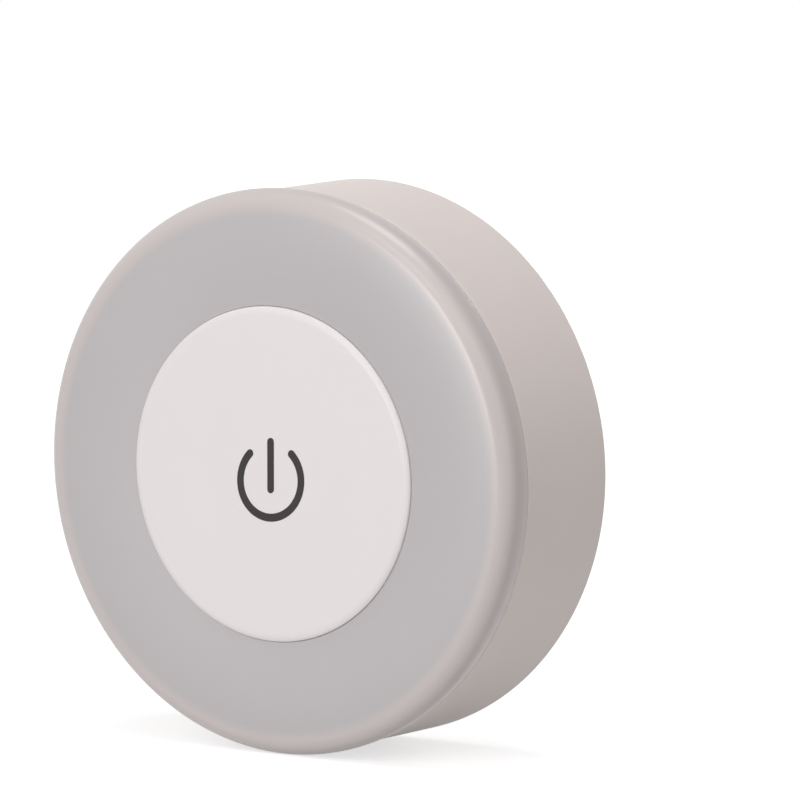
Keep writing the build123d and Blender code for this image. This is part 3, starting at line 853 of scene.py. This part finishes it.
class PUCK_OT_touch_plate(PuckOperator, bpy.types.Operator):
    """Add the touch plate"""
    bl_idname = "puck.touch_plate"
    bl_label = "Add touch plate"

    def execute(self, context):
        light = context.scene.puck_light
        plate = light.plate
        front = PLATE_FRONT - plate.ink
        width, drop = plate.edge_width, plate.edge_drop
        section = [(0, front), ((plate.radius - width) / 2, front)]
        section += arc((plate.radius - width, front - drop), width, 90, 0, CURVE_STEPS, rise=drop)
        section += [(plate.radius, SEAT_OUT), (0, SEAT_OUT)]
        piece = spin_section("touch_disc", section, light.ring.segments)
        combine(piece, self.hooks(plate, light.ring), "UNION")
        settle(piece)
        finish_piece(piece, satin_white_abs(light.colours.plate), "touch_plate")
        return {"FINISHED"}

    def hooks(self, plate, ring):
        """The hooks that snap behind the ring, one modelled and turned to its places."""
        outer = ring.hole - plate.hook_gap
        inner, barb = outer - plate.hook_wall, outer + plate.hook_reach
        back = FRONT - ring.wall - plate.hook_play
        shoulder = back - plate.hook_head
        end = shoulder - plate.hook_tip
        root = SEAT_OUT + plate.hook_gap
        side = [(inner, root), (inner, end), (outer, end), (barb, shoulder), (barb, back),
                (outer, back), (outer, root)]
        half = plate.hook_width / 2
        hook = pull_out("hook", [(-half, -out, up) for up, out in side], (2 * half, 0, 0))
        return join(copy_round(soften(hook, plate.hook_edge), THIRDS))


class PUCK_OT_sign(PuckOperator, bpy.types.Operator):
    """Add the printed on and off sign"""
    bl_idname = "puck.sign"
    bl_label = "Add sign"

    def execute(self, context):
        plate = context.scene.puck_light.plate
        half = plate.sign_stroke / 2
        middle = plate.sign_radius
        gap = math.degrees(plate.sign_gap)
        first, last = 90 + gap, 450 - gap
        tips = [math.radians(first), math.radians(last)]
        ends = [(middle * math.cos(t), middle * math.sin(t)) for t in tips]
        hoop = arc((0, 0), middle + half, first, last, SIGN_STEPS)
        hoop += arc(ends[1], half, last, last + 180, CURVE_STEPS)[1:-1]
        hoop += arc((0, 0), middle - half, last, first, SIGN_STEPS)
        hoop += arc(ends[0], half, first - 180, first, CURVE_STEPS)[1:-1]
        bar = arc((0, plate.bar_top - half), half, 0, 180, CURVE_STEPS)
        bar += arc((0, half - plate.bar_bottom), half, 180, 360, CURVE_STEPS)
        back = PLATE_FRONT - 2 * plate.ink
        pieces = []
        for name, outline in (("sign_bar", bar), ("sign", hoop)):
            placed = [(across + plate.sign_across, up + plate.sign_rise * across - plate.sign_drop)
                      for across, up in outline]
            pieces.append(pull_slab(name, placed, back, PLATE_FRONT))
        sign = join(pieces[::-1])
        finish_piece(sign, printed_ink(context.scene.puck_light.colours.ink))
        return {"FINISHED"}


class PUCK_OT_housing(PuckOperator, bpy.types.Operator):
    """Add the drum-shaped housing"""
    bl_idname = "puck.housing"
    bl_label = "Add housing"

    def execute(self, context):
        light = context.scene.puck_light
        drum, port = light.drum, light.port
        back, front = drum.back_edge, drum.seam_edge
        section = arc((DRUM_RADIUS - back, BACK + back), back, -90, 0, RIM_STEPS)
        low, high = BACK + back + drum.hold, SEAM - front - drum.hold
        section += [(DRUM_RADIUS, low + (high - low) * step / drum.rings)
                    for step in range(drum.rings + 1)]
        section += arc((DRUM_RADIUS - front, SEAM - front), front, 0, 90, EDGE_STEPS)
        section += [(drum.bore, SEAM), (drum.bore, BACK)]
        piece = spin_section("drum", section, light.ring.segments)
        combine(piece, self.posts(light), "UNION")
        combine(piece, join(snap_bars("snap_pocket", light.ring, drum.pocket_gap)), "DIFFERENCE")
        recess = pull_bar("recess", racetrack(port.width, port.height, (0, SOCKET_OUT)),
                          -LAMP_RADIUS - OVERRUN, port.depth - DRUM_RADIUS)
        combine(piece, recess, "DIFFERENCE")
        combine(piece, self.openings(light), "DIFFERENCE")
        self.round_rim(piece, port)
        finish_piece(piece, eroded_white_abs(light.colours.shell), "housing")
        return {"FINISHED"}

    def posts(self, light):
        """The screw columns with their webs, and the rests for the cover and the board."""
        drum = light.drum
        middle = SCREW_REACH - light.back.head
        half = drum.web / 2
        start = math.degrees(math.asin(half / drum.column))
        reach = drum.bore + drum.bite
        column = arc((middle, 0), drum.column, start, 360 - start, POST_STEPS)
        column += [(reach, -half), (reach, half)]
        rest = turned(rectangle((drum.bore - drum.rest, -half), (reach, half)), REST_TURN)
        back = BACK + light.back.thick
        posts = []
        for name, outline in (("column", column), ("rest", rest)):
            posts += copy_round(pull_slab(name, outline, back, BOARD_BACK), THIRDS)
        return join(posts)

    def openings(self, light):
        """What the socket, the charge light and the screws take out of the housing."""
        drum, port = light.drum, light.port
        slot = racetrack(SOCKET_WIDTH + 2 * port.gap, SOCKET_HEIGHT + 2 * port.gap,
                         (0, SOCKET_OUT))
        pipe_place = ((PIPE_HIGH.x + PIPE_LOW.x) / 2, -(PIPE_HIGH.y + PIPE_LOW.y) / 2)
        pipe_hole = arc(pipe_place, PIPE_RADIUS + port.pipe_gap, 0, 360, PIN_STEPS)
        low, high = -LAMP_RADIUS - OVERRUN, OVERRUN - drum.bore
        tools = [pull_bar("slot", slot, low, high), pull_bar("pipe_hole", pipe_hole, low, high)]
        middle = SCREW_REACH - light.back.head
        pilot = arc((middle, 0), drum.pilot, 0, 360, POST_STEPS)
        back = BACK + light.back.thick
        tools += copy_round(pull_slab("pilot", pilot, back - OVERRUN, SCREW_END), THIRDS)
        return join(tools)

    def round_rim(self, piece, port):
        """Rounds the rim of the recess, where it meets the drum's outside."""
        pick(piece)
        self.select_near(piece, port, SLACK, port.clear)
        bpy.ops.object.mode_set(mode="EDIT")
        bpy.ops.mesh.dissolve_verts()
        bpy.ops.object.mode_set(mode="OBJECT")
        self.select_near(piece, port, -SLACK, SLACK)
        bpy.ops.object.mode_set(mode="EDIT")
        bpy.ops.mesh.remove_doubles(threshold=port.edge)
        bpy.ops.object.mode_set(mode="OBJECT")
        round_edges(piece, port.edge, lambda place: self.is_outside(place)
                    and abs(self.from_rim(place, port)) < SLACK, clamp=False)

    def select_near(self, piece, port, low, high):
        """Selects the points of the drum's outside between two distances from the rim."""
        for part in (*piece.data.edges, *piece.data.polygons):
            part.select = False
        for point in piece.data.vertices:
            point.select = (self.is_outside(point.co)
                            and low < self.from_rim(point.co, port) <= high)

    def from_rim(self, place, port):
        """How far a point of the drum's outside is from the recess's outline."""
        across = max(0, abs(place.x) - (port.width - port.height) / 2)
        return math.hypot(across, -place.y - SOCKET_OUT) - port.height / 2

    def is_outside(self, place):
        """Whether a point lies on the lower half of the drum's outside."""
        return place.z < 0 and math.hypot(place.x, place.z) > DRUM_RADIUS - SLACK


class PUCK_OT_port(PuckOperator, bpy.types.Operator):
    """Add the charging socket and the charge light's pipe"""
    bl_idname = "puck.port"
    bl_label = "Add charging port"

    def execute(self, context):
        port = context.scene.puck_light.port
        self.add_shell(port)
        self.add_tongue(port)
        self.add_contacts(port)
        bpy.ops.mesh.primitive_cylinder_add(vertices=PIN_STEPS, radius=PIPE_RADIUS,
                                            depth=PIPE_HIGH.z - PIPE_LOW.z,
                                            location=(PIPE_HIGH + PIPE_LOW) / 2)
        pipe = context.object
        pipe.name = pipe.data.name = "charge_light_pipe"
        soften(pipe, port.pipe_dome, DOME_STEPS)
        finish_piece(pipe, clear_polycarbonate(), "indicator_pipe")
        return {"FINISHED"}

    def add_shell(self, port):
        """The socket's shell: sheet steel rolled to a racetrack, with a rounded mouth."""
        middle = (0, SOCKET_OUT)
        shell = pull_bar("socket_shell", racetrack(SOCKET_WIDTH, SOCKET_HEIGHT, middle),
                         SOCKET_LOW.z, SOCKET_HIGH.z)
        bore = racetrack(SOCKET_WIDTH - 2 * port.wall, SOCKET_HEIGHT - 2 * port.wall, middle)
        combine(shell, pull_bar("bore", bore, SOCKET_LOW.z - OVERRUN, SOCKET_HIGH.z + OVERRUN),
                "DIFFERENCE")
        soften(shell, port.lip)
        finish_piece(shell, tinned_steel(), "usb_shell")

    def add_tongue(self, port):
        """The socket's tongue, with a rounded tip, and the block that holds it."""
        half, corner = TONGUE_HIGH.x, port.tongue_corner
        tip, heel = TONGUE_LOW.z, TONGUE_HIGH.z - port.heel
        outline = [(half, heel), (-half, heel)]
        outline += arc((corner - half, tip + corner), corner, 180, 270, RIM_STEPS)
        outline += arc((half - corner, tip + corner), corner, 270, 360, RIM_STEPS)
        thin = port.tongue / 2
        tongue = pull_slab("socket_tongue", outline, SOCKET_OUT - thin, SOCKET_OUT + thin)
        width = SOCKET_WIDTH - SOCKET_HEIGHT
        low, high = -TONGUE_HIGH.y, -TONGUE_LOW.y
        block = pull_bar("block", rectangle((-width / 2, low), (width / 2, high)),
                         heel - port.contact_proud, TONGUE_HIGH.z)
        combine(tongue, block, "UNION")
        soften(tongue, port.lip)
        finish_piece(tongue, black_nylon(), "usb_tongue")

    def add_contacts(self, port):
        """The gold contacts on both sides of the tongue."""
        start = -(port.contacts - 1) / 2 * port.contact_pitch
        half = port.contact / 2
        tip = TONGUE_LOW.z + port.tongue_corner
        strip = rectangle((start - half, tip), (start + half, tip + port.contact_length))
        inner, outer = port.tongue / 2 - port.contact_proud, port.tongue / 2 + port.contact_proud
        rows = [pull_slab("socket_contacts", strip, SOCKET_OUT + inner, SOCKET_OUT + outer),
                pull_slab("back_contacts", strip, SOCKET_OUT - outer, SOCKET_OUT - inner)]
        for row in rows:
            change(row, "ARRAY", count=port.contacts, use_relative_offset=False,
                   use_constant_offset=True,
                   constant_offset_displace=(port.contact_pitch, 0, 0))
        finish_piece(join(rows), gold_plate())


class PUCK_OT_back(PuckOperator, bpy.types.Operator):
    """Add the rear cover, its screws and the steel plate on its pad"""
    bl_idname = "puck.back"
    bl_label = "Add back"

    def execute(self, context):
        light = context.scene.puck_light
        back = light.back
        self.add_cover(light)
        self.add_screws(back)
        steel = pull_slab("wall_plate", rounded_square(STEEL_SIDE, back.steel_corner),
                          STEEL_BACK, STEEL_FRONT)
        soften(steel, back.steel_edge)
        finish_piece(steel, zinc_plate(), "steel_plate", "wall_mount")
        pad = pull_slab("wall_pad", rounded_square(PAD_SIDE, back.pad_corner), 0, STEEL_BACK)
        soften(pad, back.pad_edge)
        finish_piece(pad, black_foam(), "adhesive_pad", "wall_mount")
        return {"FINISHED"}

    def add_cover(self, light):
        """The rear cover: recess, raised block with pockets, ribs and screw seats."""
        back = light.back
        top, edge = BACK + back.thick, back.edge
        section = [(0, BACK)]
        section += arc((COVER_RADIUS - edge, BACK + edge), edge, -90, 0, RIM_STEPS)
        section += [(COVER_RADIUS, top), (0, top)]
        cover = spin_section("rear_disc", section, light.ring.segments)
        side = STEEL_SIDE + 2 * back.recess_gap
        corner = back.steel_corner + back.recess_gap
        rib = rectangle((back.rib_inner, -back.rib / 2), (back.rib_outer, back.rib / 2))
        inner = [pull_slab("block", rounded_square(side + 2 * back.block_wall, corner),
                           top - edge, MAGNET_FRONT)]
        bar = pull_slab("rib", turned(rib, RIB_TURN), top - edge, top + back.rib_height)
        inner += copy_round(bar, SIXTHS)
        combine(cover, join(inner), "UNION")
        tools = [pull_slab("recess", rounded_square(side, corner), BACK - OVERRUN, STEEL_FRONT)]
        wide, tall = MAGNET_REACH.x, MAGNET_REACH.z
        gap = back.magnet_gap
        pocket = rectangle((wide - back.magnet_width - gap, tall - back.magnet_length - gap),
                           (wide + gap, tall + gap))
        for across, up in ((1, 1), (-1, 1), (-1, -1), (1, -1)):
            place = [(x * across, z * up) for x, z in pocket]
            tools.append(pull_slab("pocket", place, MAGNET_BACK, MAGNET_FRONT + OVERRUN))
        head = back.head + back.head_gap
        seat = [(0, BACK - OVERRUN), (head, BACK - OVERRUN), (head, SCREW_BACK),
                (back.hole, SCREW_BACK + head - back.hole), (back.hole, top + OVERRUN),
                (0, top + OVERRUN)]
        middle = SCREW_REACH - back.head
        tools += copy_round(shift(spin_section("seat", seat, PIN_STEPS), (middle, 0, 0)), THIRDS)
        combine(cover, join(tools), "DIFFERENCE")
        self.round_back(cover, back)
        finish_piece(cover, eroded_white_abs(light.colours.shell), "rear_cover")

    def round_back(self, cover, back):
        """Rounds the rims of the recess and of the screw seats in the cover's back.  Large faces
        then lead the shading, so that the flat back stays flat up to its rims."""
        inside = COVER_RADIUS - back.edge - SLACK
        pick(cover)
        round_edges(cover, back.recess_edge / 2, lambda place: abs(-place.y - BACK) < SLACK
                    and math.hypot(place.x, place.z) < inside, clamp=True)
        change(cover, "WEIGHTED_NORMAL", keep_sharp=True)

    def add_screws(self, back):
        """Countersunk screws with a cross in the head, one modelled and turned to its places."""
        edge = back.head_edge
        section = [(0, SCREW_BACK)]
        section += arc((back.head - edge, SCREW_BACK + edge), edge, -90, 0, EDGE_STEPS)
        start = SCREW_BACK + back.head_height
        turns = int((SCREW_END - start) / back.thread_pitch)
        for turn in range(turns):
            foot = start + turn * back.thread_pitch
            section += [(back.shank - back.thread, foot),
                        (back.shank, foot + back.thread_pitch / 2)]
        section += [(back.shank - back.thread, start + turns * back.thread_pitch),
                    (back.shank / 2, SCREW_END), (0, SCREW_END)]
        screw = spin_section("screw", section, PIN_STEPS)
        long, wide = back.cross / 2, back.cross_width / 2
        cross = [(long, wide), (wide, wide), (wide, long), (-wide, long), (-wide, wide),
                 (-long, wide), (-long, -wide), (-wide, -wide), (-wide, -long), (wide, -long),
                 (wide, -wide), (long, -wide)]
        tool = pull_slab("cross", cross, SCREW_BACK - OVERRUN, SCREW_BACK + back.cross_depth)
        combine(screw, tool, "DIFFERENCE")
        shift(screw, (SCREW_REACH - back.head, 0, 0))
        material = nickel_plate()
        for number, piece in enumerate(copy_round(screw, THIRDS)):
            piece.name = piece.data.name = f"cover_screw_{number + 1}"
            finish_piece(piece, material, "cover_screws")


class PUCK_OT_inner_finishes(PuckOperator, bpy.types.Operator):
    """Give the carried-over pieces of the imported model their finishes"""
    bl_idname = "puck.inner_finishes"
    bl_label = "Paint inner pieces"

    def execute(self, context):
        finishes = {
            black_foam(): ("battery_pad",),
            copper_foil(): ("touch_electrode",),
            nickel_plate(): ("touch_spring", "magnets"),
            tinned_steel(): ("chip_leads",),
            bright_white_abs(): ("reflector",),
            white_solder_mask(): ("circuit_board",),
            yellow_phosphor(): ("light_emitters", "charge_indicator"),
            black_epoxy(): ("emitter_resistors", "charger_chip", "touch_chip",
                            "driver_transistors"),
            tan_ceramic(): ("capacitors",),
            natural_nylon(): ("battery_socket", "battery_plug"),
            laminated_foil(): ("battery_cell",),
            amber_tape(): ("battery_protection",),
            silicone_wire("red_silicone", "#A8201A"): ("battery_lead_red",),
            silicone_wire("black_silicone", "#1A1A1A"): ("battery_lead_black",),
        }
        for material, names in finishes.items():
            for name in names:
                paint(NODES[name], material)
        return {"FINISHED"}


OPERATORS = (PUCK_OT_stage, PUCK_OT_inner_finishes, PUCK_OT_housing, PUCK_OT_port,
             PUCK_OT_back, PUCK_OT_light_ring, PUCK_OT_touch_plate, PUCK_OT_sign)


class PUCK_PT_panel(bpy.types.Panel):
    """The sidebar's list of what can be added and set"""
    bl_idname = "PUCK_PT_panel"
    bl_label = "Puck light"
    bl_space_type = "VIEW_3D"
    bl_region_type = "UI"
    bl_category = "Puck light"

    def draw(self, context):
        for operator in OPERATORS:
            self.layout.operator(operator.bl_idname)
        light = context.scene.puck_light
        for group in (light.ring, light.plate, light.drum, light.port, light.back,
                      light.colours):
            box = self.layout.box()
            for name in group.__annotations__:
                box.prop(group, name)


CLASSES = (PuckRing, PuckPlate, PuckDrum, PuckPort, PuckBack, PuckColours, PuckLight,
           *OPERATORS, PUCK_PT_panel)


def register():
    for kind in CLASSES:
        bpy.utils.register_class(kind)
    bpy.types.Scene.puck_light = PointerProperty(type=PuckLight)


def unregister():
    del bpy.types.Scene.puck_light
    for kind in reversed(CLASSES):
        bpy.utils.unregister_class(kind)


def main():
    """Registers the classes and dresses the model."""
    register()
    bpy.ops.puck.stage()
    bpy.ops.puck.inner_finishes()
    bpy.ops.puck.housing()
    bpy.ops.puck.port()
    bpy.ops.puck.back()
    bpy.ops.puck.light_ring()
    bpy.ops.puck.touch_plate()
    bpy.ops.puck.sign()


if __name__ == "__main__":
    main()
